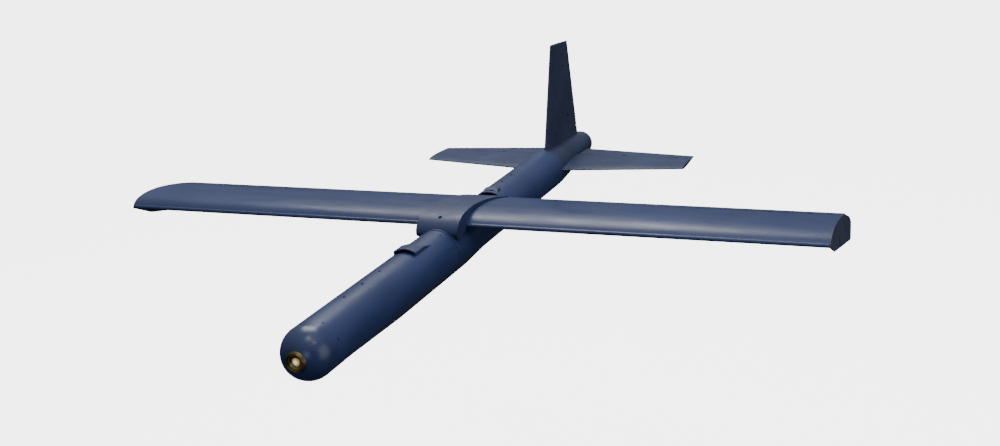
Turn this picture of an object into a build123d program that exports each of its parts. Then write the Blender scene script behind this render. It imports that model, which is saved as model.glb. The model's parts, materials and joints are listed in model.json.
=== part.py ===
"""Fixed wing drone with a tube fuselage, a strap-on straight wing and a cross tail.

Millimetres. +Z is up, the nose points along -Y and the left wing along +X. The origin is on the
ground under the middle of the drone's length. Stations are distances behind the nose ring's front
face, and heights are measured from the fuselage axis.
"""

import os
from math import atan2, cos, degrees, radians, sin, sqrt, tan

from build123d import *

os.makedirs("parts", exist_ok=True)

# Fuselage
TUBE_R = 55.0
TUBE_WALL = 2.0
DOME_WALL = 2.5
NOSE_SKIRT = 15.0
FRONT_TUBE_LENGTH = 584.0
COLLAR_WIDTH = 6.0
COLLAR_PROUD = 1.3
COLLAR_SLEEVE = 30.0
REAR_TUBE_LENGTH = 740.0
TAIL_CONE_LENGTH = 322.0
TAIL_END_R = 37.0
TAIL_RING_WIDTH = 8.0
BOND = 0.2  # gap left for glue between curved faces of one body
NOSE_SHARE = 0.012  # share of a section's chord that its round leading edge takes
SPIGOT = 12.0

# Nose sensor
BEZEL_R = 22.0
LENS_SEAT_R = 16.0
LENS_R = 9.0
CAMERA_R = 8.0
CAMERA_LENGTH = 34.0

# Belly skid
SKID_DEPTH = 4.2
SKID_HALF_WIDTH = 23.0
SKID_TAIL_HALF_WIDTH = 14.0
SKID_LIP_HEIGHT = -45.5
SKID_LIP_THICKNESS = 5.5
SKID_FLUSH_LENGTH = 170.0
SKID_END = 1380.0

# Wing
SPAN = 1744.0
CHORD = 263.0
WING_AHEAD = 55.0  # from the collar to the leading edge
WING_LE_DROP = 8.0  # leading edge below the tube's top
WING_TE_DROP = 10.6
WING_UPPER = 27.5
WING_LOWER = 3.5
WING_SKIN = 1.5
WING_SEAT_DROP = 14.0
FRONT_SPAR_R = 8.0
REAR_SPAR_R = 4.0
SPAR_WALL = 1.2
FRONT_SPAR_REACH = 600.0
REAR_SPAR_REACH = 300.0
RIB_THICKNESS = 3.0
RIB_COUNT = 7
TIP_PLATE = 3.0

# Saddle that straps the wing to the tube
SADDLE_HALF_WIDTH = 51.0
SADDLE_OVERHANG = 12.0
SADDLE_CHEEK_HEIGHT = 33.0

# Control surfaces and their linkages
AILERON_INNER = 470.0
AILERON_LENGTH = 380.0
AILERON_HINGE_SHARE = 0.78
SWING_GAP = 1.0
ROD_R = 1.5
BUSH_R = 4.0
RUNNING_FIT = 0.05
THROW = 25.0
HORN_R = 20.0
TAIL_HORN_R = 16.0
PLATE = 2.4
PIN_R = 1.0
EYE_R = 2.8
EYE_WIDTH = 2.0
OPEN_PIVOT_GAP = 0.3
AILERON_LINK = 104.0
TAIL_LINK = 150.0
BRACKET_WIDTH = 7.0

# Servos
SERVO_LENGTH = 23.0
SERVO_HEIGHT = 22.0
SERVO_THICKNESS = 12.0
SERVO_AXIS_INSET = 6.0
SERVO_STANDOFF = 4.8

# Tailplane
TAILPLANE_HALF_SPAN = 378.0
TAILPLANE_HEIGHT = 4.4
TAILPLANE_ROOT_LE = 1387.0
TAILPLANE_TIP_LE = 1456.0
TAILPLANE_ROOT_TE = 1652.7
TAILPLANE_TIP_TE = 1600.0
TAILPLANE_ROOT_HALF_THICKNESS = 7.5
TAILPLANE_TIP_HALF_THICKNESS = 4.8
ELEVATOR_HINGE = 1562.0
TAIL_SPAR_R = 4.0
TAIL_SPAR_REACH = 300.0

# Fin
FIN_HEIGHT = 333.0
FIN_TIP_BACK_HEIGHT = 324.5
FIN_FOOT_LE = 1396.0
FIN_TIP_LE = 1497.0
FIN_FOOT_TE = 1712.0
FIN_TIP_TE = 1641.0
FIN_FOOT_HALF_THICKNESS = 7.5
FIN_TIP_HALF_THICKNESS = 5.0
RUDDER_FOOT = 62.0
RUDDER_TOP = 322.0
RUDDER_HINGE_FOOT = 1619.0
RUDDER_HINGE_TOP = 1573.0

# Motor
MOTOR_R = 21.0
MOTOR_LENGTH = 40.0
STATOR_R = 17.0
SHAFT_R = 5.0
SHAFT_END_R = 4.0
BEARING_R = 8.0
BEARING_WIDTH = 5.0
DRIVER_R = 35.0
DRIVER_LENGTH = 25.0
DRIVER_GAP = 1.5
SHAFT_FREE_LENGTH = 11.0

# Stations along the fuselage
NOSE_LENGTH = TUBE_R + NOSE_SKIRT
COLLAR = NOSE_LENGTH + FRONT_TUBE_LENGTH
REAR_TUBE = COLLAR + COLLAR_WIDTH
TAIL_CONE = REAR_TUBE + REAR_TUBE_LENGTH
TAIL_RING = TAIL_CONE + TAIL_CONE_LENGTH
DRIVER = TAIL_RING + TAIL_RING_WIDTH + DRIVER_GAP
DRIVER_END = DRIVER + DRIVER_LENGTH
LENGTH = DRIVER_END + SHAFT_FREE_LENGTH
TAIL_SHIFT = TAIL_CONE - 1400.0  # the tail's stations are drawn for a cone that starts at 1400
TAIL_SPAR_STATION = TAIL_SHIFT + 1480.0

AXIS_HEIGHT = TUBE_R + SKID_DEPTH
TUBE_BORE = TUBE_R - TUBE_WALL
NOSE_Y = -LENGTH / 2

WING_LE = REAR_TUBE + WING_AHEAD
WING_TE = WING_LE + CHORD
WING_SEAT = TUBE_R - WING_SEAT_DROP
HALF_SPAN = SPAN / 2
WING_END = HALF_SPAN - TIP_PLATE
AILERON_HINGE = WING_LE + AILERON_HINGE_SHARE * CHORD
AILERON_OUTER = AILERON_INNER + AILERON_LENGTH
AXIS_LINE = Axis((0, 0, AXIS_HEIGHT), (0, 1, 0))


def side(x=0.0):
    """Plane facing left: sketch x is the station and sketch y the height above the axis."""
    return Plane(origin=(x, NOSE_Y, AXIS_HEIGHT), x_dir=(0, 1, 0), z_dir=(1, 0, 0))


def across(station):
    """Plane facing the nose: sketch x is to the left and sketch y is up from the axis."""
    return Plane(origin=(0, NOSE_Y + station, AXIS_HEIGHT), x_dir=(1, 0, 0), z_dir=(0, -1, 0))


def level(height=0.0):
    """Plane facing up: sketch x is to the left and sketch y is the station."""
    return Plane(origin=(0, NOSE_Y, AXIS_HEIGHT + height))


def finish(piece, name, hand=1):
    """Label a piece and write it; hand -1 is the right side's piece, a mirror of the left one."""
    solid = piece.part if hand > 0 else mirror(piece.part, about=Plane.YZ)
    solid.label = name
    export_step(solid, f"parts/{name}.step")


def swell(share):
    """Half height of a streamlined section at a share of its chord, 1 at its fullest."""
    curve = 0.2969 * sqrt(share) - 0.1260 * share - 0.3516 * share**2
    return 10 * (curve + 0.2843 * share**3 - 0.1015 * share**4)


def surface(front, back, heights, bulge, first=0.0, last=1.0, inset=0.0, count=8):
    """Points along one face of a section, from front to back; the lower face has bulge below 0."""
    points = []
    for step in range(count):
        share = first + (last - first) * (step / (count - 1)) ** 1.5
        height = heights[0] + (heights[1] - heights[0]) * share
        inward = inset if bulge > 0 else -inset
        points.append((front + (back - front) * share, height + bulge * swell(share) - inward))
    return points


def full_section(front, back, heights, upper, lower):
    """Closed face of a whole section: a round nose and two long faces that meet it smoothly."""
    shape = (front, back, heights)
    with BuildSketch() as section:
        with BuildLine():
            top = surface(*shape, upper, NOSE_SHARE, 1)
            bottom = surface(*shape, -lower, NOSE_SHARE, 1)
            ThreePointArc(top[0], (front, heights[0]), bottom[0])
            Spline(*top)
            Spline(*bottom)
            Line(top[-1], bottom[-1])
        make_face()
    return section.sketch


def core_profile(gap):
    """Sketch lines of the rear fuselage's outside, grown by a gap, to be spun into a solid."""
    start = REAR_TUBE
    Line((start, 0), (start, TUBE_R + gap))
    Line((start, TUBE_R + gap), (TAIL_CONE, TUBE_R + gap))
    cone_line(TUBE_R + gap, TAIL_END_R + gap)
    Line((TAIL_RING, TAIL_END_R + gap), (TAIL_RING, 0))
    Line((TAIL_RING, 0), (start, 0))


def cone_line(start_r, end_r):
    """The tail cone's curve: it leaves the tube smoothly and ends nearly straight."""
    return Spline(
        (TAIL_CONE, start_r),
        (TAIL_CONE + 0.41 * TAIL_CONE_LENGTH, start_r - 0.42 * (start_r - end_r)),
        (TAIL_CONE + 0.68 * TAIL_CONE_LENGTH, start_r - 0.70 * (start_r - end_r)),
        (TAIL_RING, end_r),
        tangents=[(1, 0), (1, -0.045)],
    )


def core_solid(gap):
    """Solid of the rear fuselage's outside, used to trim what stands on it."""
    with BuildPart() as core:
        with BuildSketch(side()):
            with BuildLine():
                core_profile(gap)
            make_face()
        revolve(axis=AXIS_LINE)
    return core.part


def tube_solid(radius, first, last):
    """Round solid on the fuselage axis between two stations."""
    with BuildPart() as tube:
        with BuildSketch(across(last)):
            Circle(radius)
        extrude(amount=last - first)
    return tube.part


def turned(name, points):
    """Piece turned about the fuselage axis from (station, radius) corners."""
    with BuildPart() as piece:
        with BuildSketch(side()):
            with BuildLine():
                Polyline(*points, close=True)
            make_face()
        revolve(axis=AXIS_LINE)
    finish(piece, name)


# Nose dome: a moulded half ball with a skirt and a spigot that slips into the front tube
SKID_FRONT = TUBE_R - sqrt(TUBE_R**2 - SKID_LIP_HEIGHT**2)
SKID_FLUSH_END = SKID_FRONT + SKID_FLUSH_LENGTH
DOME_BORE = TUBE_R - DOME_WALL - TUBE_WALL
with BuildPart() as nose_dome:
    with BuildSketch(side()):
        with BuildLine():
            CenterArc((TUBE_R, 0), TUBE_R, 90, 90)
            Line((TUBE_R, TUBE_R), (NOSE_LENGTH, TUBE_R))
            Polyline(
                (NOSE_LENGTH, TUBE_R),
                (NOSE_LENGTH, TUBE_BORE - BOND),
                (NOSE_LENGTH + SPIGOT, TUBE_BORE - BOND),
                (NOSE_LENGTH + SPIGOT, DOME_BORE),
                (TUBE_R, DOME_BORE),
            )
            CenterArc((TUBE_R, 0), DOME_BORE, 90, 90)
            Line((0, 0), (TUBE_R - DOME_BORE, 0))
        make_face()
    revolve(axis=AXIS_LINE)
    with BuildSketch(across(BEZEL_R)):
        Circle(BEZEL_R + BOND)
    extrude(amount=2 * BEZEL_R, mode=Mode.SUBTRACT)
    with BuildSketch(level(SKID_LIP_HEIGHT)):
        with Locations((0, SKID_FRONT + NOSE_LENGTH)):
            Rectangle(2 * SKID_HALF_WIDTH + 2 * BOND, 2 * NOSE_LENGTH)
    extrude(amount=-TUBE_R, mode=Mode.SUBTRACT)
finish(nose_dome, "nose_dome")

# Nose sensor: turned bezel, dark lens ring, glass and the camera behind it
BEZEL_EDGE = TUBE_R - sqrt(TUBE_R**2 - BEZEL_R**2)
turned(
    "nose_bezel",
    [(0, LENS_SEAT_R), (0, BEZEL_R - 4), (BEZEL_EDGE - 1, BEZEL_R), (14, BEZEL_R), (14, LENS_SEAT_R)],
)
turned(
    "lens_ring",
    [(1.5, 13), (1.5, LENS_SEAT_R - BOND), (12, LENS_SEAT_R - BOND), (12, LENS_R), (3.5, LENS_R)],
)
with BuildPart() as lens:
    with BuildSketch(side()):
        with BuildLine():
            ThreePointArc((3, 0), (3.6, LENS_R / 2), (5.5, LENS_R - BOND))
            Polyline((5.5, LENS_R - BOND), (11, LENS_R - BOND), (11, 0), (3, 0))
        make_face()
    revolve(axis=AXIS_LINE)
finish(lens, "lens")
with BuildPart() as camera_body:
    with BuildSketch(across(12.5 + CAMERA_LENGTH)):
        Circle(CAMERA_R)
    extrude(amount=CAMERA_LENGTH)
    with BuildSketch(across(12.5 + CAMERA_LENGTH + 2)):
        RectangleRounded(38, 38, 3)
    extrude(amount=2)
    with BuildSketch(across(12.5 + CAMERA_LENGTH)):
        RectangleRounded(24, 24, 2)
    extrude(amount=14)
finish(camera_body, "camera_body")

# Front tube, open below for the skid's front plate and above for the cooling scoop
SCOOP_FRONT = 489.0
SCOOP_LENGTH = 86.0
SCOOP_HALF_WIDTH = 26.0
SCOOP_RISE = 9.5
SCOOP_WALL = 2.2
TOP_SCREWS_FRONT = (208.0, 287.0, 367.0)
TOP_SCREWS_REAR = (1080.0, 1146.0)
SCREW_R = 1.5
SCREW_HEAD_R = 3.0
SCREW_HEAD = 1.4
RAIL_THICKNESS = 6.0
RAIL_HALF_WIDTH = 7.0
SADDLE_SCREW_R = 2.5
SADDLE_SCREW = REAR_TUBE + 27.0


def duct(first, last, half_width):
    """Solid of an air hole through the tube's top."""
    with BuildPart() as hole:
        with BuildSketch(level()):
            with Locations((0, (first + last) / 2)):
                RectangleRounded(2 * half_width, last - first, 4)
        extrude(amount=TUBE_R + 5)
    return hole.part


def top_holes(stations, radius):
    """Solids of screw holes along the tube's top centreline."""
    with BuildPart() as holes:
        with BuildSketch(level()):
            with Locations(*[(0, station) for station in stations]):
                Circle(radius)
        extrude(amount=TUBE_R + 5)
    return holes.part


with BuildPart() as front_tube:
    with BuildSketch(across(COLLAR)):
        Circle(TUBE_R)
        Circle(TUBE_BORE, mode=Mode.SUBTRACT)
    extrude(amount=FRONT_TUBE_LENGTH)
    with BuildSketch(level(SKID_LIP_HEIGHT)):
        with Locations((0, SKID_FLUSH_END / 2)):
            Rectangle(2 * SKID_HALF_WIDTH + 2 * BOND, SKID_FLUSH_END)
    extrude(amount=-TUBE_R, mode=Mode.SUBTRACT)
    add(duct(SCOOP_FRONT + 14, SCOOP_FRONT + 52, SCOOP_HALF_WIDTH - 12), mode=Mode.SUBTRACT)
    add(top_holes(TOP_SCREWS_FRONT, SCREW_R + BOND), mode=Mode.SUBTRACT)
finish(front_tube, "front_tube")

# Joint ring: a sleeve inside both tubes with a collar that shows between them
SLEEVE_R = TUBE_BORE - BOND
turned(
    "joint_ring",
    [
        (COLLAR - COLLAR_SLEEVE, SLEEVE_R - TUBE_WALL),
        (COLLAR - COLLAR_SLEEVE, SLEEVE_R),
        (COLLAR, SLEEVE_R),
        (COLLAR, TUBE_R + COLLAR_PROUD),
        (REAR_TUBE, TUBE_R + COLLAR_PROUD),
        (REAR_TUBE, SLEEVE_R),
        (REAR_TUBE + 8, SLEEVE_R),
        (REAR_TUBE + 8, SLEEVE_R - TUBE_WALL),
    ],
)

# Rear tube: its top is cut flat where the wing sits
OUTLET_FRONT = WING_TE + 10.0
OUTLET_LENGTH = 30.0
OUTLET_HALF_WIDTH = 19.0
OUTLET_RISE = 6.0
with BuildPart() as rear_tube:
    with BuildSketch(across(TAIL_CONE)):
        Circle(TUBE_R)
        Circle(TUBE_BORE, mode=Mode.SUBTRACT)
    extrude(amount=REAR_TUBE_LENGTH)
    with BuildSketch(level(WING_SEAT)):
        with Locations((0, (WING_LE + WING_TE) / 2)):
            Rectangle(2 * TUBE_R, CHORD + 6)
    extrude(amount=TUBE_R, mode=Mode.SUBTRACT)
    add(duct(OUTLET_FRONT + 6, OUTLET_FRONT + OUTLET_LENGTH - 6, 12), mode=Mode.SUBTRACT)
    add(top_holes(TOP_SCREWS_REAR, SCREW_R + BOND), mode=Mode.SUBTRACT)
    add(top_holes([SADDLE_SCREW], SADDLE_SCREW_R + BOND), mode=Mode.SUBTRACT)
finish(rear_tube, "rear_tube")

# Tail cone: a thin moulding that narrows from the tube to the motor's ring
CONE_BORE_END = TAIL_END_R - TUBE_WALL
with BuildPart() as tail_cone:
    with BuildSketch(side()):
        with BuildLine():
            cone_line(TUBE_R, TAIL_END_R)
            Line((TAIL_RING, TAIL_END_R), (TAIL_RING, CONE_BORE_END))
            cone_line(TUBE_BORE, CONE_BORE_END)
            Line((TAIL_CONE, TUBE_BORE), (TAIL_CONE, TUBE_R))
        make_face()
    revolve(axis=AXIS_LINE)
    with BuildSketch(side()):
        with Locations((TAIL_SHIFT + ELEVATOR_HINGE, TAILPLANE_HEIGHT)):
            Circle(BUSH_R + BOND)
        with Locations((TAIL_SPAR_STATION, TAILPLANE_HEIGHT)):
            Circle(TAIL_SPAR_R + BOND)
    extrude(amount=2 * TUBE_R, both=True, mode=Mode.SUBTRACT)

# The rudder's axis leans forward as it rises, so its pieces have a plane of their own
RUDDER_LEAN = atan2(RUDDER_HINGE_FOOT - RUDDER_HINGE_TOP, RUDDER_TOP - 65.0)
RUDDER_UP = (0, -sin(RUDDER_LEAN), cos(RUDDER_LEAN))
TILLER_HEIGHT = 19.5


def rudder_station(height):
    """Station of the rudder's hinge line at a height."""
    return TAIL_SHIFT + RUDDER_HINGE_FOOT - (height - 65.0) * tan(RUDDER_LEAN)


def rudder_plane(along=0.0, up=0.0):
    """Plane square to the rudder's axis, moved aft and up in its own directions."""
    base = Plane(
        origin=(0, NOSE_Y + rudder_station(TILLER_HEIGHT), AXIS_HEIGHT + TILLER_HEIGHT),
        x_dir=(1, 0, 0),
        z_dir=RUDDER_UP,
    )
    return Plane(origin=base.from_local_coords((0, along, up)), x_dir=base.x_dir, z_dir=base.z_dir)


with tail_cone:
    with BuildSketch(rudder_plane(up=5)):
        Circle(BUSH_R + BOND)
    extrude(amount=TUBE_R, mode=Mode.SUBTRACT)
finish(tail_cone, "tail_cone")

turned(
    "tail_ring",
    [
        (TAIL_RING, 14),
        (TAIL_RING, TAIL_END_R),
        (TAIL_RING + TAIL_RING_WIDTH / 2, TAIL_END_R - 0.4),
        (TAIL_RING + TAIL_RING_WIDTH, DRIVER_R + 0.3),
        (TAIL_RING + TAIL_RING_WIDTH, 14),
    ],
)

# Belly skid: a keel plate let into the nose, deepest amidships and narrow behind
SKID_BOTTOM = -TUBE_R - SKID_DEPTH
SKID_DEEPEST = 400.0
SKID_WIDE_END = 760.0
with BuildPart() as belly_skid:
    with BuildSketch(level(SKID_BOTTOM - 1)):
        with BuildLine():
            left = [
                (SKID_HALF_WIDTH - 4, SKID_FRONT),
                (SKID_HALF_WIDTH, SKID_FRONT + 14),
                (SKID_HALF_WIDTH, SKID_WIDE_END),
                (SKID_TAIL_HALF_WIDTH, SKID_WIDE_END + 150),
                (SKID_TAIL_HALF_WIDTH, SKID_END - 10),
                (SKID_TAIL_HALF_WIDTH - 6, SKID_END),
            ]
            Polyline(*left, *[(-x, station) for x, station in left[::-1]], close=True)
        make_face()
    extrude(amount=TUBE_R)
    with BuildSketch(side()):
        with BuildLine():
            Polyline(
                (SKID_FRONT - 1, SKID_LIP_HEIGHT),
                (SKID_FRONT - 1, SKID_LIP_HEIGHT - SKID_LIP_THICKNESS),
                (SKID_DEEPEST, SKID_BOTTOM),
                (SKID_END - 30, SKID_BOTTOM),
                (SKID_END + 1, SKID_BOTTOM + 3.5),
                (SKID_END + 1, SKID_LIP_HEIGHT),
                close=True,
            )
        make_face()
    extrude(amount=TUBE_R, both=True, mode=Mode.INTERSECT)
    with BuildSketch(side()):
        with BuildLine():
            CenterArc((TUBE_R, 0), TUBE_R, 90, 90)
            Polyline(
                (TUBE_R, TUBE_R),
                (SKID_FLUSH_END / 2, TUBE_R),
                (SKID_DEEPEST, TUBE_R + 2 * SKID_DEPTH),
                (SKID_END + 2, TUBE_R + 2 * SKID_DEPTH),
                (SKID_END + 2, 0),
                (0, 0),
            )
        make_face()
    revolve(axis=AXIS_LINE, mode=Mode.INTERSECT)
    add(tube_solid(TUBE_R + BOND, SKID_FLUSH_END - BOND, SKID_END + 2), mode=Mode.SUBTRACT)
    collar_seat = tube_solid(TUBE_R + COLLAR_PROUD + BOND, COLLAR - BOND, REAR_TUBE + BOND)
    add(collar_seat, mode=Mode.SUBTRACT)
finish(belly_skid, "belly_skid")


def air_scoop(name, front, length, half_width, rise, mouth_forward):
    """Blister over an air hole: an arched mouth at one end, sloping away to the tube at the other."""
    top = TUBE_R + rise
    mouth, tail = (front, front + length) if mouth_forward else (front + length, front)
    aft = 1 if mouth_forward else -1

    def arch(inset):
        """Front view of the blister, or of its inside."""
        width = half_width - inset
        foot = sqrt(TUBE_R**2 - width**2) - 6
        shoulder = top - inset - rise * 0.75
        with BuildSketch() as view:
            with BuildLine():
                crown = ThreePointArc((-width, shoulder), (0, top - inset), (width, shoulder))
                Line(crown @ 1, (width, foot))
                Line((width, foot), (-width, foot))
                Line((-width, foot), crown @ 0)
            make_face()
        return view.sketch

    def ramp(inset):
        """Side view of the blister, or of its inside."""
        with BuildSketch() as view:
            with BuildLine():
                Polyline(
                    (mouth - aft * 5, 0),
                    (mouth - aft * 5, top + 5),
                    (mouth + aft * 10, top - inset),
                    (tail, TUBE_R - 7 - inset),
                    (tail, 0),
                    close=True,
                )
            make_face()
        return view.sketch

    with BuildPart() as hollow:
        with BuildSketch(across(max(mouth, tail))):
            add(arch(SCOOP_WALL))
        extrude(amount=length)
        with BuildSketch(side()):
            add(ramp(SCOOP_WALL))
        extrude(amount=TUBE_R, both=True, mode=Mode.INTERSECT)
        with BuildSketch(across(max(mouth, tail - aft * SCOOP_WALL))):
            Rectangle(4 * TUBE_R, 4 * TUBE_R)
        extrude(amount=length, mode=Mode.INTERSECT)
    with BuildPart() as scoop:
        with BuildSketch(across(max(mouth, tail))):
            add(arch(0))
        extrude(amount=length)
        with BuildSketch(side()):
            add(ramp(0))
        extrude(amount=TUBE_R, both=True, mode=Mode.INTERSECT)
        add(hollow.part, mode=Mode.SUBTRACT)
        add(tube_solid(TUBE_R + BOND, front - 5, front + length + 5), mode=Mode.SUBTRACT)
    finish(scoop, name)


air_scoop("cooling_scoop", SCOOP_FRONT, SCOOP_LENGTH, SCOOP_HALF_WIDTH, SCOOP_RISE, True)
air_scoop("cooling_outlet", OUTLET_FRONT, OUTLET_LENGTH, OUTLET_HALF_WIDTH, OUTLET_RISE, False)

# Frames inside the tubes, the rails that the top screws bite into, and the motor bulkhead
FRAME_STATIONS = (105.0, 375.0, 610.0)
FRAME_THICKNESS = 4.0
TRAY_HEIGHT = -20.0
TRAY_THICKNESS = 2.5
TRAY_FRONT = 100.0
TRAY_BACK = 640.0
MOTOR_FRONT = TAIL_RING - 65.0
CONE_BORE_AT_MOTOR = TAIL_END_R + 2.8 - TUBE_WALL
with BuildPart() as fuselage_frames:
    for station in FRAME_STATIONS:
        with BuildSketch(across(station + FRAME_THICKNESS)):
            Circle(SLEEVE_R - TUBE_WALL - BOND if station > COLLAR - COLLAR_SLEEVE else TUBE_BORE - BOND)
            Rectangle(76, 66, mode=Mode.SUBTRACT)
            with Locations((0, TRAY_HEIGHT + TRAY_THICKNESS / 2)):
                Rectangle(2 * TUBE_R, TRAY_THICKNESS + 2 * BOND, mode=Mode.SUBTRACT)
            with Locations((0, TUBE_BORE)):
                Rectangle(2 * RAIL_HALF_WIDTH + 2 * BOND, 2 * RAIL_THICKNESS + 8, mode=Mode.SUBTRACT)
            with Locations((0, SKID_LIP_HEIGHT + BOND)):
                Rectangle(2 * TUBE_R, TUBE_R, align=(Align.CENTER, Align.MAX), mode=Mode.SUBTRACT)
        extrude(amount=FRAME_THICKNESS)
    for rail in (TOP_SCREWS_FRONT, TOP_SCREWS_REAR):
        with BuildSketch(across(rail[-1] + 20)):
            with Locations((0, TUBE_BORE - 1 - RAIL_THICKNESS / 2)):
                Rectangle(2 * RAIL_HALF_WIDTH, RAIL_THICKNESS)
        extrude(amount=rail[-1] - rail[0] + 40)
        add(top_holes(rail, SCREW_R), mode=Mode.SUBTRACT)
    with BuildSketch(across(MOTOR_FRONT)):
        Circle(CONE_BORE_AT_MOTOR)
        Circle(SHAFT_R + 4, mode=Mode.SUBTRACT)
        with PolarLocations(30, 6, start_angle=30):
            Circle(4, mode=Mode.SUBTRACT)
    extrude(amount=FRAME_THICKNESS)
finish(fuselage_frames, "fuselage_frames")

# Screws: button heads along the top, and the longer one that holds the saddle's nose
SADDLE_SCREW_TOP = TUBE_R + 15.0
with BuildPart() as top_screws:
    with BuildSketch(level(TUBE_R)):
        with Locations(*[(0, station) for station in TOP_SCREWS_FRONT + TOP_SCREWS_REAR]):
            Circle(SCREW_HEAD_R)
    extrude(amount=SCREW_HEAD)
    fillet(top_screws.edges().group_by(Axis.Z)[-1], SCREW_HEAD * 0.6)
    with BuildSketch(level(TUBE_R - RAIL_THICKNESS - 3)):
        with Locations(*[(0, station) for station in TOP_SCREWS_FRONT + TOP_SCREWS_REAR]):
            Circle(SCREW_R)
    extrude(amount=RAIL_THICKNESS + 3)
    with BuildSketch(level(SADDLE_SCREW_TOP - 4)):
        with Locations((0, SADDLE_SCREW)):
            Circle(SADDLE_SCREW_R + 1.6)
            RegularPolygon(SADDLE_SCREW_R - 0.5, 6, mode=Mode.SUBTRACT)
    extrude(amount=4)
    with BuildSketch(level(TUBE_R - 8)):
        with Locations((0, SADDLE_SCREW)):
            Circle(SADDLE_SCREW_R)
    extrude(amount=SADDLE_SCREW_TOP - 3 - TUBE_R + 8)
finish(top_screws, "top_screws")

# Equipment tray and what it carries
with BuildPart() as equipment_tray:
    with BuildSketch(level(TRAY_HEIGHT)):
        with Locations((0, (TRAY_FRONT + TRAY_BACK) / 2)):
            Rectangle(2 * sqrt((SLEEVE_R - TUBE_WALL) ** 2 - TRAY_HEIGHT**2) - 2, TRAY_BACK - TRAY_FRONT)
        for station in range(int(TRAY_FRONT) + 30, int(TRAY_BACK) - 20, 30):
            with Locations((-40, station), (40, station)):
                Circle(3, mode=Mode.SUBTRACT)
    extrude(amount=TRAY_THICKNESS)
finish(equipment_tray, "equipment_tray")

TRAY_TOP = TRAY_HEIGHT + TRAY_THICKNESS
BATTERY_SIZE = (64.0, 150.0, 40.0)
BATTERY_STATION = 215.0
STRAP = 1.2


def on_tray(name, station, size, corner, connectors=0):
    """Rounded box that stands on the tray, with a row of plug housings behind it."""
    width, length, height = size
    with BuildPart() as box:
        with BuildSketch(level(TRAY_TOP + STRAP)):
            with Locations((0, station)):
                RectangleRounded(width, length, corner)
        extrude(amount=height)
        fillet(box.edges().group_by(Axis.Z)[-1], min(1.5, corner / 2))
        if connectors:
            pitch = (width - 10) / connectors
            with BuildSketch(level(TRAY_TOP + STRAP + 1)):
                with Locations((0, station + length / 2 + 1.5)):
                    with GridLocations(pitch, 1, connectors, 1):
                        Rectangle(pitch * 0.7, 4)
            extrude(amount=height * 0.5)
    finish(box, name)


on_tray("battery", BATTERY_STATION, BATTERY_SIZE, 5)
on_tray("flight_controller", 335.0, (44.0, 56.0, 14.0), 3, connectors=4)
on_tray("gps_receiver", 420.0, (40.0, 40.0, 12.0), 4, connectors=1)
on_tray("radio_receiver", 480.0, (28.0, 46.0, 13.0), 2, connectors=3)
on_tray("speed_controller", 555.0, (34.0, 70.0, 16.0), 2, connectors=2)
with BuildPart() as battery_straps:
    for offset in (-45.0, 45.0):
        with BuildSketch(across(BATTERY_STATION + offset + 8)):
            low = TRAY_HEIGHT - BOND - STRAP
            high = TRAY_TOP + STRAP + BATTERY_SIZE[2] + BOND
            with Locations((0, (low + high + STRAP) / 2)):
                RectangleRounded(BATTERY_SIZE[0] + 2 * STRAP + 2 * BOND, high - low + STRAP, 1)
                Rectangle(BATTERY_SIZE[0] + 2 * BOND, high - low - STRAP, mode=Mode.SUBTRACT)
            with Locations((0, TRAY_HEIGHT + TRAY_THICKNESS / 2)):
                Rectangle(4 * TUBE_R, TRAY_THICKNESS + 2 * BOND, mode=Mode.SUBTRACT)
        extrude(amount=16)
finish(battery_straps, "battery_straps")

# Wing
WING_HEIGHTS = (TUBE_R - WING_LE_DROP, TUBE_R - WING_TE_DROP)
WING_SHAPE = (WING_LE, WING_TE, WING_HEIGHTS)
WING_BED = (WING_LE - 2 * BOND, WING_TE + 2 * BOND, WING_HEIGHTS)
FRONT_SPAR = (WING_LE + 0.26 * CHORD, TUBE_R + 3.5)
REAR_SPAR = (WING_LE + 0.60 * CHORD, TUBE_R - 1.0)
HINGE_LOW = surface(*WING_SHAPE, -WING_LOWER, 0, AILERON_HINGE_SHARE)[-1][1]
HINGE_HIGH = surface(*WING_SHAPE, WING_UPPER, 0, AILERON_HINGE_SHARE)[-1][1]
HINGE_HEIGHT = (HINGE_LOW + HINGE_HIGH) / 2
COVE_R = (HINGE_HIGH - HINGE_LOW) / 2 + 0.6
AILERON_NOSE_R = COVE_R - SWING_GAP
AILERON_AXIS = (AILERON_HINGE, HINGE_HEIGHT)
SERVO_X = 620.0
SERVO_STATION = AILERON_HINGE - AILERON_LINK
HATCH_SIZE = (44.0, 40.0)
HATCH_THICKNESS = 1.5
HATCH_CENTRE = (SERVO_X - 12, SERVO_STATION + 4)
HORN_SLOT = 9.0  # ahead of the hinge line, for the horn's swing
BRACKETS = [AILERON_INNER + share * AILERON_LENGTH for share in (0.18, 0.62, 0.86)]


def wing_blank(first, last):
    """Solid length of the wing's section between two distances from the centreline."""
    with BuildPart() as blank:
        with BuildSketch(side(first)):
            add(full_section(*WING_SHAPE, WING_UPPER, WING_LOWER))
        extrude(amount=last - first)
    return blank.part


def wing_inside(inset):
    """Face of the wing's hollow: inside the skin and ahead of the solid trailing part."""
    with BuildSketch() as hollow:
        with BuildLine():
            top = surface(*WING_SHAPE, WING_UPPER, 0.04, 0.66, inset)
            bottom = surface(*WING_SHAPE, -WING_LOWER, 0.04, 0.66, inset)
            Spline(*top)
            Line(top[-1], bottom[-1])
            Spline(*bottom)
            Line(bottom[0], top[0])
        make_face()
    return hollow.sketch


def round_bar(centre, radius, first, last):
    """Round solid along X at a (station, height), between two distances from the centreline."""
    with BuildPart() as bar:
        with BuildSketch(side(first)):
            with Locations(centre):
                Circle(radius)
        extrude(amount=last - first)
    return bar.part


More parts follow.
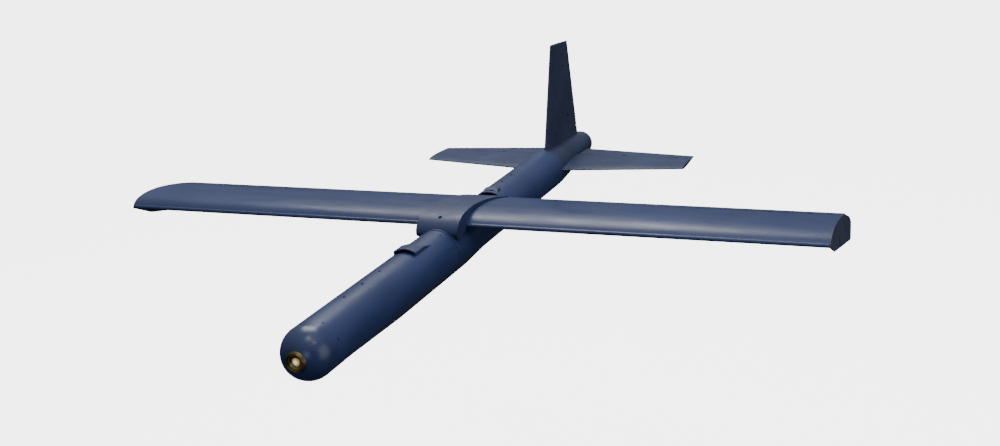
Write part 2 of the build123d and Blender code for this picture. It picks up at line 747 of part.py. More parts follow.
for hand, name in ((1, "left"), (-1, "right")):
    with BuildPart() as wing:
        add(wing_blank(BOND, WING_END))
        with BuildSketch(side(0)):
            add(wing_inside(WING_SKIN))
        extrude(amount=WING_END - WING_SKIN, mode=Mode.SUBTRACT)
        add(round_bar(AILERON_AXIS, COVE_R, AILERON_INNER, AILERON_OUTER), mode=Mode.SUBTRACT)
        with BuildSketch(side(AILERON_INNER)):
            with Locations((AILERON_HINGE - COVE_R / 2, 0)):
                Rectangle(CHORD, 4 * TUBE_R, align=(Align.MIN, Align.CENTER))
        extrude(amount=AILERON_LENGTH, mode=Mode.SUBTRACT)
        rod_bore = round_bar(AILERON_AXIS, ROD_R + RUNNING_FIT, AILERON_INNER - 9, AILERON_OUTER + 9)
        add(rod_bore, mode=Mode.SUBTRACT)
        with BuildSketch(side(SERVO_X - PLATE / 2 - BOND)):
            with Locations((AILERON_HINGE, HINGE_HEIGHT)):
                Rectangle(HORN_SLOT, HORN_R, align=(Align.MAX, Align.MAX))
        extrude(amount=PLATE + 2 * BOND, mode=Mode.SUBTRACT)
        with BuildSketch(level(WING_SEAT - 5)):
            with Locations(HATCH_CENTRE):
                Rectangle(HATCH_SIZE[0] + 2 * BOND, HATCH_SIZE[1] + 2 * BOND)
        extrude(amount=WING_SEAT_DROP - 4, mode=Mode.SUBTRACT)
    finish(wing, f"wing_{name}", hand)

    with BuildPart() as aileron:
        with BuildSketch(side(AILERON_INNER + SWING_GAP)):
            add(full_section(*WING_SHAPE, WING_UPPER, WING_LOWER))
            with Locations((AILERON_HINGE, 0)):
                Rectangle(CHORD, 4 * TUBE_R, align=(Align.MIN, Align.CENTER), mode=Mode.INTERSECT)
            with Locations(AILERON_AXIS):
                Circle(AILERON_NOSE_R)
        extrude(amount=AILERON_LENGTH - 2 * SWING_GAP)
        for x in BRACKETS:
            notch = round_bar(AILERON_AXIS, COVE_R + 1, x - SWING_GAP, x + BRACKET_WIDTH + SWING_GAP)
            add(notch, mode=Mode.SUBTRACT)
        slot = round_bar(AILERON_AXIS, COVE_R + 4, SERVO_X - PLATE / 2 - BOND, SERVO_X + PLATE / 2 + BOND)
        add(slot, mode=Mode.SUBTRACT)
        rod_bore = round_bar(AILERON_AXIS, ROD_R, AILERON_INNER, AILERON_OUTER)
        add(rod_bore, mode=Mode.SUBTRACT)
    finish(aileron, f"aileron_{name}", hand)


def lever(plane, reach, angle, pin_side=1):
    """Flat arm with a round hub on its plane's origin and a pin near its free end."""
    tip = (reach * cos(radians(angle)), reach * sin(radians(angle)))
    with BuildPart() as arm:
        with BuildSketch(plane.offset(-PLATE / 2)):
            Circle(4.0)
            with Locations(tip):
                Circle(2.6)
            with Locations((tip[0] / 2, tip[1] / 2)):
                Rectangle(reach, 4.6, rotation=angle)
        extrude(amount=PLATE)
        with BuildSketch(plane):
            with Locations(tip):
                Circle(PIN_R)
        extrude(amount=pin_side * (PLATE / 2 + OPEN_PIVOT_GAP + EYE_WIDTH + 1.2))
    return arm.part


def pushrod(plane, start, end, start_gap=RUNNING_FIT, end_gap=OPEN_PIVOT_GAP):
    """Straight wire between two flat eyes, lying beside the levers that it joins."""
    middle = ((start[0] + end[0]) / 2, (start[1] + end[1]) / 2)
    length = sqrt((end[0] - start[0]) ** 2 + (end[1] - start[1]) ** 2)
    angle = degrees(atan2(end[1] - start[1], end[0] - start[0]))
    lift = PLATE / 2 + OPEN_PIVOT_GAP
    with BuildPart() as rod:
        with BuildSketch(plane.offset(lift)):
            with Locations(middle):
                Rectangle(length, EYE_WIDTH, rotation=angle)
            with Locations(start, end):
                Circle(EYE_R)
            with Locations(start):
                Circle(PIN_R + start_gap, mode=Mode.SUBTRACT)
            with Locations(end):
                Circle(PIN_R + end_gap, mode=Mode.SUBTRACT)
        extrude(amount=EYE_WIDTH)
    return rod.part


def local(plane, point):
    """Copy of a plane with its origin moved to a point of its own sketch."""
    origin = plane.from_local_coords((point[0], point[1], 0))
    return Plane(origin=origin, x_dir=plane.x_dir, z_dir=plane.z_dir)


# Aileron linkages under the wing: torque rod with horn, servo arm and pushrod on each side
SERVO_AXIS = (SERVO_STATION, HINGE_HEIGHT)
for hand, name in ((1, "left"), (-1, "right")):
    with BuildPart() as aileron_rod:
        add(round_bar(AILERON_AXIS, ROD_R, AILERON_INNER - 8, AILERON_OUTER + 8))
        add(lever(local(side(SERVO_X), AILERON_AXIS), HORN_R, -90))
    finish(aileron_rod, f"aileron_rod_{name}", hand)
    with BuildPart() as servo_arm:
        add(lever(local(side(SERVO_X), SERVO_AXIS), HORN_R, -90))
        add(round_bar(SERVO_AXIS, ROD_R + 1, SERVO_X - SERVO_STANDOFF, SERVO_X))
    finish(servo_arm, f"aileron_arm_{name}", hand)
    with BuildPart() as aileron_pushrod:
        low = HINGE_HEIGHT - HORN_R
        add(pushrod(side(SERVO_X), (SERVO_STATION, low), (AILERON_HINGE, low)))
    finish(aileron_pushrod, f"aileron_pushrod_{name}", hand)

with BuildPart() as wing_ribs:
    for rib in range(RIB_COUNT):
        x = 8 + rib * (WING_END - WING_SKIN - RIB_THICKNESS - 10) / (RIB_COUNT - 1)
        with BuildSketch(side(x)):
            add(wing_inside(WING_SKIN + BOND))
            with Locations(FRONT_SPAR):
                Circle(FRONT_SPAR_R + BOND, mode=Mode.SUBTRACT)
            with Locations(REAR_SPAR):
                Circle(REAR_SPAR_R + BOND, mode=Mode.SUBTRACT)
        extrude(amount=RIB_THICKNESS)
    mirror(about=Plane.YZ)
finish(wing_ribs, "wing_ribs")

# Spar tubes: two through the wing halves and one through the tailplane halves
TAIL_SPAR = (TAIL_SPAR_STATION, TAILPLANE_HEIGHT)
with BuildPart() as spar_tubes:
    for centre, radius, reach in (
        (FRONT_SPAR, FRONT_SPAR_R, FRONT_SPAR_REACH),
        (REAR_SPAR, REAR_SPAR_R, REAR_SPAR_REACH),
        (TAIL_SPAR, TAIL_SPAR_R, TAIL_SPAR_REACH),
    ):
        add(round_bar(centre, radius, -reach, reach))
        add(round_bar(centre, radius - SPAR_WALL, -reach, reach), mode=Mode.SUBTRACT)
finish(spar_tubes, "spar_tubes")

# Drooped tip plates: they follow the wing's top and sweep down behind it
TIP_OVERHANG = 93.0
TIP_BACK_TOP = -3.0
TIP_BACK_FOOT = -46.0
for hand, name in ((1, "left"), (-1, "right")):
    with BuildPart() as tip_plate:
        with BuildSketch(side(WING_END)):
            with BuildLine():
                top = surface(*WING_SHAPE, WING_UPPER, 0, 0.85)
                crest = Spline(*top)
                Spline(
                    crest @ 1,
                    (WING_TE + 23, 33),
                    (WING_TE + 60, 19),
                    (WING_TE + TIP_OVERHANG, TIP_BACK_TOP),
                    tangents=(crest % 1, (1, -0.75)),
                )
                Polyline(
                    (WING_TE + TIP_OVERHANG, TIP_BACK_TOP),
                    (WING_TE + TIP_OVERHANG - 1, TIP_BACK_FOOT),
                    (WING_LE + 70, 16),
                    top[0],
                )
            make_face()
        extrude(amount=TIP_PLATE)
        fillet(tip_plate.edges().filter_by(Axis.X).group_by(Axis.Z)[0], 6)
    finish(tip_plate, f"tip_plate_{name}", hand)

# Wing saddle: a moulded cover that wraps the wing root and the top of the tube
with BuildPart() as wing_saddle:
    with BuildSketch(side(-SADDLE_HALF_WIDTH)):
        with BuildLine():
            front = WING_LE - WING_AHEAD - SADDLE_OVERHANG
            back = WING_TE + 7
            crown = TUBE_R + 31
            Spline(
                (front + 22, SADDLE_CHEEK_HEIGHT),
                (front + 10, TUBE_R - 10),
                (front + 27, TUBE_R + 15),
                (front + 56, TUBE_R + 27),
                (front + 100, crown),
                (front + 150, crown - 2.5),
                (front + 243, TUBE_R + 14),
                (back, WING_HEIGHTS[1] + 1.2),
            )
            Line((back, WING_HEIGHTS[1] + 1.2), (back, WING_SEAT))
            Line((back, WING_SEAT), (WING_LE - 6, WING_SEAT))
            Line((WING_LE - 6, WING_SEAT), (WING_LE - 34, SADDLE_CHEEK_HEIGHT))
            Line((WING_LE - 34, SADDLE_CHEEK_HEIGHT), (front + 22, SADDLE_CHEEK_HEIGHT))
        make_face()
    extrude(amount=2 * SADDLE_HALF_WIDTH)
    add(tube_solid(TUBE_R + BOND, REAR_TUBE - 30, WING_LE - 3), mode=Mode.SUBTRACT)
    add(tube_solid(TUBE_R + COLLAR_PROUD + BOND, COLLAR - 20, REAR_TUBE + BOND), mode=Mode.SUBTRACT)
    with BuildSketch(side(-SADDLE_HALF_WIDTH)):
        add(full_section(*WING_BED, WING_UPPER + 2 * BOND, WING_LOWER + 2 * BOND))
        with Locations((WING_LE + CHORD / 2, WING_SEAT)):
            Rectangle(CHORD + 5.8, 6.0)
    extrude(amount=2 * SADDLE_HALF_WIDTH, mode=Mode.SUBTRACT)
    add(tube_solid(TUBE_R + BOND, WING_TE + 2.8, WING_TE + 30), mode=Mode.SUBTRACT)
    with BuildSketch(level(TUBE_R - 5)):
        with Locations((0, SADDLE_SCREW)):
            Circle(SADDLE_SCREW_R + BOND)
    extrude(amount=TUBE_R, mode=Mode.SUBTRACT)
    with BuildSketch(level(SADDLE_SCREW_TOP - 4)):
        with Locations((0, SADDLE_SCREW)):
            Circle(SADDLE_SCREW_R + 1.6 + BOND)
    extrude(amount=TUBE_R, mode=Mode.SUBTRACT)
finish(wing_saddle, "wing_saddle")

# Tailplane and elevators
HINGE_S = TAIL_SHIFT + ELEVATOR_HINGE
TAILPLANE_ROOT = (TAIL_SHIFT + TAILPLANE_ROOT_LE, TAIL_SHIFT + TAILPLANE_ROOT_TE)
TAILPLANE_TIP = (TAIL_SHIFT + TAILPLANE_TIP_LE, TAIL_SHIFT + TAILPLANE_TIP_TE)
ELEVATOR_AXIS = (HINGE_S, TAILPLANE_HEIGHT)
ELEVATOR_INNER = TUBE_R - 6.5
TAIL_BRACKETS = (180.0, 330.0)
TAIL_BRACKET_R = 3.0
BEVEL_FLAT = 1.8
BEVEL_START = -1.0
HINGE_SETBACK = 2.6  # from a tail hinge's axis to the fixed surface ahead of it


def bevelled_region(axis):
    """Face that holds all of a hinged surface behind its axis, with a V-shaped front edge."""
    far = 14.0
    run = (far - BEVEL_FLAT) * tan(radians(THROW + 5))
    with BuildSketch() as region:
        with BuildLine():
            Polyline(
                (axis[0] + BEVEL_START, axis[1] + BEVEL_FLAT),
                (axis[0] + BEVEL_START + run, axis[1] + far),
                (axis[0] + 200, axis[1] + far),
                (axis[0] + 200, axis[1] - far),
                (axis[0] + BEVEL_START + run, axis[1] - far),
                (axis[0] + BEVEL_START, axis[1] - BEVEL_FLAT),
                close=True,
            )
        make_face()
    return region.sketch


with BuildPart() as tailplane_blank:
    heights = (TAILPLANE_HEIGHT, TAILPLANE_HEIGHT)
    for x, (front, back), half in (
        (0, TAILPLANE_ROOT, TAILPLANE_ROOT_HALF_THICKNESS),
        (TAILPLANE_HALF_SPAN, TAILPLANE_TIP, TAILPLANE_TIP_HALF_THICKNESS),
    ):
        with BuildSketch(side(x)):
            add(full_section(front, back, heights, half, half))
    loft()

for hand, name in ((1, "left"), (-1, "right")):
    with BuildPart() as tailplane:
        add(tailplane_blank.part)
        add(core_solid(BOND), mode=Mode.SUBTRACT)
        with BuildSketch(side(0)):
            with Locations((HINGE_S - HINGE_SETBACK, TAILPLANE_HEIGHT)):
                Rectangle(300, 60, align=(Align.MIN, Align.CENTER))
        extrude(amount=2 * TAILPLANE_HALF_SPAN, mode=Mode.SUBTRACT)
        add(round_bar(TAIL_SPAR, TAIL_SPAR_R + BOND, 0, TAIL_SPAR_REACH + 1), mode=Mode.SUBTRACT)
    finish(tailplane, f"tailplane_{name}", hand)

    with BuildPart() as elevator:
        add(tailplane_blank.part)
        with BuildSketch(side(ELEVATOR_INNER)):
            add(bevelled_region(ELEVATOR_AXIS))
        extrude(amount=TAILPLANE_HALF_SPAN, mode=Mode.INTERSECT)
        for x in TAIL_BRACKETS:
            notch = round_bar(ELEVATOR_AXIS, 6.5, x - SWING_GAP, x + BRACKET_WIDTH + SWING_GAP)
            add(notch, mode=Mode.SUBTRACT)
        add(round_bar(ELEVATOR_AXIS, ROD_R, 0, TAILPLANE_HALF_SPAN - 4), mode=Mode.SUBTRACT)
    finish(elevator, f"elevator_{name}", hand)

ELEVATOR_HORN_X = 20.0
with BuildPart() as elevator_rod:
    add(round_bar(ELEVATOR_AXIS, ROD_R, 4 - TAILPLANE_HALF_SPAN, TAILPLANE_HALF_SPAN - 4))
    add(lever(local(side(ELEVATOR_HORN_X), ELEVATOR_AXIS), TAIL_HORN_R, 90))
finish(elevator_rod, "elevator_rod")

ELEVATOR_SERVO = (HINGE_S - TAIL_LINK, TAILPLANE_HEIGHT)
with BuildPart() as elevator_arm:
    add(lever(local(side(ELEVATOR_HORN_X), ELEVATOR_SERVO), TAIL_HORN_R, 90))
    add(round_bar(ELEVATOR_SERVO, ROD_R + 1, ELEVATOR_HORN_X - SERVO_STANDOFF, ELEVATOR_HORN_X))
finish(elevator_arm, "elevator_arm")
with BuildPart() as elevator_pushrod:
    high = TAILPLANE_HEIGHT + TAIL_HORN_R
    add(pushrod(side(ELEVATOR_HORN_X), (ELEVATOR_SERVO[0], high), (HINGE_S, high)))
finish(elevator_pushrod, "elevator_pushrod")

# Fin and rudder
with BuildPart() as fin_blank:
    for height, front, back, half in (
        (0, FIN_FOOT_LE, FIN_FOOT_TE, FIN_FOOT_HALF_THICKNESS),
        (FIN_HEIGHT, FIN_TIP_LE, FIN_TIP_TE, FIN_TIP_HALF_THICKNESS),
    ):
        across_fin = Plane(
            origin=(0, NOSE_Y, AXIS_HEIGHT + height), x_dir=(0, 1, 0), z_dir=(0, 0, 1)
        )
        with BuildSketch(across_fin):
            add(full_section(TAIL_SHIFT + front, TAIL_SHIFT + back, (0, 0), half, half))
    loft()
    with BuildSketch(side()):
        with BuildLine():
            Polyline(
                (TAIL_SHIFT + FIN_TIP_LE, FIN_HEIGHT),
                (TAIL_SHIFT + FIN_TIP_TE, FIN_TIP_BACK_HEIGHT),
                (TAIL_SHIFT + FIN_TIP_TE + 50, FIN_TIP_BACK_HEIGHT),
                (TAIL_SHIFT + FIN_TIP_TE + 50, FIN_HEIGHT + 50),
                (TAIL_SHIFT + FIN_TIP_LE, FIN_HEIGHT + 50),
                close=True,
            )
        make_face()
    extrude(amount=50, both=True, mode=Mode.SUBTRACT)


def fin_outline(rudder):
    """Side outline of the fin without its rudder, or of the rudder, as a face to cut with."""
    slip = BEVEL_START if rudder else -HINGE_SETBACK / cos(RUDDER_LEAN)
    foot = RUDDER_FOOT + (SWING_GAP if rudder else 0)
    with BuildSketch() as outline:
        with BuildLine():
            Polyline(
                (rudder_station(foot) + slip, foot),
                (rudder_station(FIN_HEIGHT + 10) + slip, FIN_HEIGHT + 10),
                (TAIL_SHIFT + FIN_TIP_TE + 100, FIN_HEIGHT + 10),
                (TAIL_SHIFT + FIN_TIP_TE + 100, foot),
                close=True,
            )
        make_face()
    return outline.sketch


FIN_BRACKETS = (110.0, 260.0)
RUDDER_AXIS = Plane(
    origin=(0, NOSE_Y + rudder_station(0), AXIS_HEIGHT), x_dir=(1, 0, 0), z_dir=RUDDER_UP
)


def rudder_bar(radius, low, high):
    """Round solid on the rudder's axis between two distances along it."""
    with BuildPart() as bar:
        with BuildSketch(RUDDER_AXIS.offset(low)):
            Circle(radius)
        extrude(amount=high - low)
    return bar.part


with BuildPart() as fin:
    add(fin_blank.part)
    add(core_solid(BOND), mode=Mode.SUBTRACT)
    with BuildSketch(side()):
        add(fin_outline(False))
    extrude(amount=50, both=True, mode=Mode.SUBTRACT)
    add(rudder_bar(ROD_R + RUNNING_FIT, 0, RUDDER_FOOT + 6), mode=Mode.SUBTRACT)
finish(fin, "fin")

with BuildPart() as rudder:
    add(fin_blank.part)
    with BuildSketch(side()):
        add(fin_outline(True))
    extrude(amount=50, both=True, mode=Mode.INTERSECT)
    with BuildSketch(Plane(origin=RUDDER_AXIS.origin, x_dir=RUDDER_AXIS.y_dir, z_dir=RUDDER_UP)):
        add(bevelled_region((0, 0)))
    extrude(amount=FIN_HEIGHT + 20, mode=Mode.INTERSECT)
    for height in FIN_BRACKETS:
        add(rudder_bar(6.5, height - SWING_GAP, height + BRACKET_WIDTH + SWING_GAP), mode=Mode.SUBTRACT)
    add(rudder_bar(ROD_R, 0, RUDDER_TOP - 10), mode=Mode.SUBTRACT)
finish(rudder, "rudder")

TILLER = (-TAIL_HORN_R, 0)
with BuildPart() as rudder_rod:
    add(rudder_bar(ROD_R, TILLER_HEIGHT, RUDDER_TOP - 10))
    add(lever(rudder_plane(), TAIL_HORN_R, 180))
finish(rudder_rod, "rudder_rod")
with BuildPart() as rudder_arm:
    add(lever(rudder_plane(-TAIL_LINK), TAIL_HORN_R, 180))
    with BuildSketch(rudder_plane(-TAIL_LINK)):
        Circle(ROD_R + 1)
    extrude(amount=-SERVO_STANDOFF)
finish(rudder_arm, "rudder_arm")
with BuildPart() as rudder_pushrod:
    add(pushrod(rudder_plane(), (-TAIL_HORN_R, -TAIL_LINK), TILLER))
finish(rudder_pushrod, "rudder_pushrod")

# Hinge brackets on the wing, the tailplane and the fin
with BuildPart() as hinge_brackets:
    for x in BRACKETS:
        with BuildSketch(side(x)):
            with Locations(AILERON_AXIS):
                Circle(TAIL_BRACKET_R)
                with Locations((-COVE_R / 2, 0)):
                    Rectangle(COVE_R, 2 * BEVEL_FLAT)
                Circle(COVE_R - BOND, mode=Mode.INTERSECT)
                Circle(ROD_R + RUNNING_FIT, mode=Mode.SUBTRACT)
        extrude(amount=BRACKET_WIDTH)
    for x in TAIL_BRACKETS:
        with BuildSketch(side(x)):
            with Locations(ELEVATOR_AXIS):
                Circle(TAIL_BRACKET_R)
                Rectangle(2 * HINGE_SETBACK, 2 * TAIL_BRACKET_R, mode=Mode.INTERSECT)
                Circle(ROD_R + RUNNING_FIT, mode=Mode.SUBTRACT)
        extrude(amount=BRACKET_WIDTH)
    mirror(about=Plane.YZ)
    for height in FIN_BRACKETS:
        with BuildSketch(RUDDER_AXIS.offset(height)):
            Circle(TAIL_BRACKET_R)
            Rectangle(2 * TAIL_BRACKET_R, 2 * HINGE_SETBACK, mode=Mode.INTERSECT)
            Circle(ROD_R + RUNNING_FIT, mode=Mode.SUBTRACT)
        extrude(amount=BRACKET_WIDTH)
finish(hinge_brackets, "hinge_brackets")

# Bronze bushes where the torque rods pass through the tail cone
BUSH_LENGTH = 6.0
BUSH_END = ELEVATOR_INNER - 3.4
with BuildPart() as rod_bushes:
    add(round_bar(ELEVATOR_AXIS, BUSH_R, BUSH_END - BUSH_LENGTH, BUSH_END))
    add(round_bar(ELEVATOR_AXIS, ROD_R + RUNNING_FIT, 0, TUBE_R), mode=Mode.SUBTRACT)
    mirror(about=Plane.YZ)
    with BuildSketch(RUDDER_AXIS.offset(TAIL_END_R - 2)):
        Circle(BUSH_R)
        Circle(ROD_R + RUNNING_FIT, mode=Mode.SUBTRACT)
    extrude(amount=BUSH_LENGTH)
finish(rod_bushes, "rod_bushes")

# Servos: four alike, one in each wing and two in the tail
TAIL_TRAY_HEIGHT = -40.0


def servo(plane):
    """Servo case whose output axis is the plane's normal, standing below the plane's origin."""
    with BuildPart() as case:
        with BuildSketch(plane.offset(-SERVO_STANDOFF - BOND - 0.1)):
            with Locations((0, SERVO_AXIS_INSET - SERVO_LENGTH / 2)):
                RectangleRounded(SERVO_THICKNESS, SERVO_LENGTH, 1)
        extrude(amount=-SERVO_HEIGHT)
        with BuildSketch(plane.offset(-SERVO_STANDOFF - BOND - 8)):
            with Locations((0, SERVO_AXIS_INSET - SERVO_LENGTH / 2)):
                Rectangle(SERVO_THICKNESS, SERVO_LENGTH + 9)
        extrude(amount=-2)
    return case.part


def lying(x, axis):
    """Plane facing left whose sketch y is the station, for a servo that lies on its side."""
    origin = side(x).from_local_coords((axis[0], axis[1], 0))
    return Plane(origin=origin, x_dir=(0, 0, -1), z_dir=(1, 0, 0))


with BuildPart() as servos:
    add(servo(lying(SERVO_X, SERVO_AXIS)))
    mirror(about=Plane.YZ)
    add(servo(lying(ELEVATOR_HORN_X, ELEVATOR_SERVO)))
    add(servo(rudder_plane(-TAIL_LINK)))
finish(servos, "servos")

with BuildPart() as servo_hatches:
    with BuildSketch(level(surface(*WING_SHAPE, -WING_LOWER, 0, 0.4)[-1][1])):
        with Locations(HATCH_CENTRE):
            Rectangle(*HATCH_SIZE)
        with Locations((SERVO_X + 1, SERVO_STATION)):
            Rectangle(8, 22, mode=Mode.SUBTRACT)
    extrude(amount=HATCH_THICKNESS)
    mirror(about=Plane.YZ)
finish(servo_hatches, "servo_hatches")

# Tail tray: a floor in the cone with a post for each tail servo
with BuildPart() as tail_tray:
    with BuildSketch(level(TAIL_TRAY_HEIGHT)):
        with Locations((0, ELEVATOR_SERVO[0] + 42)):
            Rectangle(46, 120)
    extrude(amount=TRAY_THICKNESS)
    post_foot = TAIL_TRAY_HEIGHT + TRAY_THICKNESS
    post_top = TAILPLANE_HEIGHT - SERVO_THICKNESS / 2 - BOND
    with BuildSketch(level(post_foot)):
        with Locations((4, ELEVATOR_SERVO[0] - 5)):
            Rectangle(14, 18)
    extrude(amount=post_top - post_foot)
    servo_floor = rudder_plane(-TAIL_LINK, -SERVO_STANDOFF - SERVO_HEIGHT - 2 * BOND - 0.1)
    with BuildSketch(servo_floor):
        with Locations((0, SERVO_AXIS_INSET - SERVO_LENGTH / 2)):
            Rectangle(SERVO_THICKNESS, SERVO_LENGTH)
    extrude(amount=-12)
    with BuildSketch(level(TAIL_TRAY_HEIGHT)):
        with Locations((0, ELEVATOR_SERVO[0] + 45)):
            Rectangle(400, 400)
    extrude(amount=-30, mode=Mode.SUBTRACT)
finish(tail_tray, "tail_tray")

# Motor: stator on the bulkhead, bell, bearings, shaft and the dome that drives the propeller
MOTOR_BACK = MOTOR_FRONT + MOTOR_LENGTH
turned(
    "motor_stator",
    [
        (MOTOR_FRONT, BEARING_R + BOND),
        (MOTOR_FRONT, MOTOR_R),
        (MOTOR_FRONT + 4, MOTOR_R),
        (MOTOR_FRONT + 6, STATOR_R),
        (MOTOR_BACK - 8, STATOR_R),
        (MOTOR_BACK - 8, BEARING_R + BOND),
    ],
)
BELL_BORE = STATOR_R + 0.6
turned(
    "motor_bell",
    [
        (MOTOR_FRONT + 7, BELL_BORE),
        (MOTOR_FRONT + 7, MOTOR_R),
        (MOTOR_BACK - 2, MOTOR_R),
        (MOTOR_BACK, MOTOR_R - 2),
        (MOTOR_BACK, SHAFT_R),
        (MOTOR_BACK - 5, SHAFT_R),
        (MOTOR_BACK - 5, BELL_BORE),
    ],
)
with BuildPart() as motor_bearings:
    for station in (MOTOR_FRONT + BEARING_WIDTH + 1, MOTOR_BACK - 10):
        with BuildSketch(across(station)):
            Circle(BEARING_R)
            Circle(SHAFT_R + RUNNING_FIT, mode=Mode.SUBTRACT)
        extrude(amount=BEARING_WIDTH)
finish(motor_bearings, "motor_bearings")
turned(
    "propeller_shaft",
    [
        (MOTOR_FRONT - 1, 0),
        (MOTOR_FRONT - 1, SHAFT_R),
        (DRIVER_END, SHAFT_R),
        (DRIVER_END, SHAFT_END_R),
        (LENGTH, SHAFT_END_R),
        (LENGTH, 0),
    ],
)
with BuildPart() as propeller_driver:
    with BuildSketch(side()):
        with BuildLine():
            rim = Line((DRIVER, SHAFT_R), (DRIVER, DRIVER_R))
            crown = Spline(
                rim @ 1,
                (DRIVER + 0.55 * DRIVER_LENGTH, 0.80 * DRIVER_R),
                (DRIVER_END, 0.34 * DRIVER_R),
                tangents=((1, 0), (0.4, -1)),
            )
            Line(crown @ 1, (DRIVER_END, SHAFT_R))
            Line((DRIVER_END, SHAFT_R), rim @ 0)
        make_face()
    revolve(axis=AXIS_LINE)
finish(propeller_driver, "propeller_driver")
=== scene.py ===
import json
from math import cos, pi, radians, sin

import bmesh
import bpy
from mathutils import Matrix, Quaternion, Vector


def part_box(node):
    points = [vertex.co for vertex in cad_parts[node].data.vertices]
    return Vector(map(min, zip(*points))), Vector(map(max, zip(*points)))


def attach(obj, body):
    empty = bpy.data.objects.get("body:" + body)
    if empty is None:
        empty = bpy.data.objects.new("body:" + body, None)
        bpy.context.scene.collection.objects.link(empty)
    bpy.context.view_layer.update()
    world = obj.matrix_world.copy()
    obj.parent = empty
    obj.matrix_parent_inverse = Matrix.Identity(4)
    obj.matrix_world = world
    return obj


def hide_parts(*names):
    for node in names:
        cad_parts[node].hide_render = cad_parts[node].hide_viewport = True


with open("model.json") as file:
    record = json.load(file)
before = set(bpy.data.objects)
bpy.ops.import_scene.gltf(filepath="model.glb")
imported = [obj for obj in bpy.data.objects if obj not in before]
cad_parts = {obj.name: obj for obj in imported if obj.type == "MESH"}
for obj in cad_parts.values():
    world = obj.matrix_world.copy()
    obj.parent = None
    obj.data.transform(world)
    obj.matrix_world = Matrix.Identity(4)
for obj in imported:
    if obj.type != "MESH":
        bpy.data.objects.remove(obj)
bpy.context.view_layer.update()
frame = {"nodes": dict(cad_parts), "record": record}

# Studio. A pale floor well below the drone, with a glow of its own that keeps it even. The sky is
# bright above and dark near the horizon, so tops read grey-blue and undersides fall away to near
# black. Soft lamps stand overhead, ahead and to one side, and three small ones light the nose.
bpy.ops.mesh.primitive_plane_add(size=80, location=(0, 0, -1.2))
floor = bpy.context.object
floor.name = "floor"
floor.visible_diffuse = False
floor.visible_glossy = False
floor_paint = bpy.data.materials.new("floor_paint")
floor_paint.use_nodes = True
shader = floor_paint.node_tree.nodes["Principled BSDF"]
shader.inputs["Base Color"].default_value = (0.93, 0.93, 0.92, 1)
shader.inputs["Roughness"].default_value = 0.95
shader.inputs["Specular IOR Level"].default_value = 0.1
shader.inputs["Emission Color"].default_value = (1, 1, 0.985, 1)
shader.inputs["Emission Strength"].default_value = 4.2
floor.data.materials.append(floor_paint)
sky = bpy.data.worlds.new("studio_sky")
sky.use_nodes = True
sky_tree = sky.node_tree
direction = sky_tree.nodes.new("ShaderNodeTexCoord")
split = sky_tree.nodes.new("ShaderNodeSeparateXYZ")
fade = sky_tree.nodes.new("ShaderNodeValToRGB")
lift = sky_tree.nodes.new("ShaderNodeMapRange")
lift.inputs["From Min"].default_value = -1
fade.color_ramp.elements[0].position = 0.40
fade.color_ramp.elements[0].color = (0.05, 0.055, 0.075, 1)
fade.color_ramp.elements[1].position = 0.93
fade.color_ramp.elements[1].color = (0.88, 0.94, 1, 1)
middle = fade.color_ramp.elements.new(0.60)
middle.color = (0.30, 0.34, 0.46, 1)
sky_tree.links.new(direction.outputs["Generated"], split.inputs["Vector"])
sky_tree.links.new(split.outputs["Z"], lift.inputs["Value"])
sky_tree.links.new(lift.outputs["Result"], fade.inputs["Fac"])
sky_tree.links.new(fade.outputs["Color"], sky_tree.nodes["Background"].inputs["Color"])
sky_tree.nodes["Background"].inputs["Strength"].default_value = 0.62
bpy.context.scene.world = sky


def soft_lamp(name, place, target, size, power, colour):
    """Square soft light that faces a target."""
    lamp = bpy.data.objects.new(name, bpy.data.lights.new(name, "AREA"))
    lamp.data.energy = power
    lamp.data.size = size
    lamp.data.color = colour
    lamp.location = place
    lamp.rotation_mode = "QUATERNION"
    lamp.rotation_quaternion = (Vector(place) - Vector(target)).to_track_quat("Z", "Y")
    bpy.context.collection.objects.link(lamp)


soft_lamp("overhead", (-0.9, 1.7, 3.4), (0.3, 0, 0.06), 2.2, 105, (1.0, 0.99, 0.97))
soft_lamp("front_blue", (0.9, -3.4, 0.55), (0, -0.2, 0.06), 1.0, 9, (0.45, 0.66, 1.0))
soft_lamp("side_fill", (4.2, -0.6, 0.5), (0, 0, 0.06), 3.2, 46, (0.95, 0.96, 1.0))
soft_lamp("nose_cool", (0.50, -1.35, 3.10), (0, -0.83, 0.06), 0.36, 16, (0.85, 0.92, 1.0))
soft_lamp("nose_warm", (1.75, -1.40, 2.60), (0, -0.83, 0.06), 0.26, 9, (1.0, 0.72, 0.58))
soft_lamp("lens_glow", (-1.63, -3.63, -0.14), (0, -0.88, 0.06), 0.4, 4, (1.0, 0.9, 0.7))

# Camera. It stands ahead of the drone and to its left, looks down on it and has a slight roll. The
# lens is a normal one, and the whole drone fits the frame.
AZIMUTH = radians(22.101)
ELEVATION = radians(16.733)
ROLL = radians(-3.498)
back = Vector((sin(AZIMUTH) * cos(ELEVATION), -cos(AZIMUTH) * cos(ELEVATION), sin(ELEVATION)))
camera = bpy.data.objects.new("camera", bpy.data.cameras.new("camera"))
camera.data.sensor_width = 36
camera.data.lens = 47.54
camera.data.clip_end = 100
camera.location = (1.2181, -2.8354, 0.9863)
camera.rotation_mode = "QUATERNION"
camera.rotation_quaternion = back.to_track_quat("Z", "Y") @ Quaternion((0, 0, 1), ROLL)
bpy.context.collection.objects.link(camera)
bpy.context.scene.camera = camera

# Nose dome. A half ball moulded in glass-filled nylon, with a skirt and a spigot that slips into
# the front tube. It is sprayed with a satin navy paint like the tubes' and glued in place.


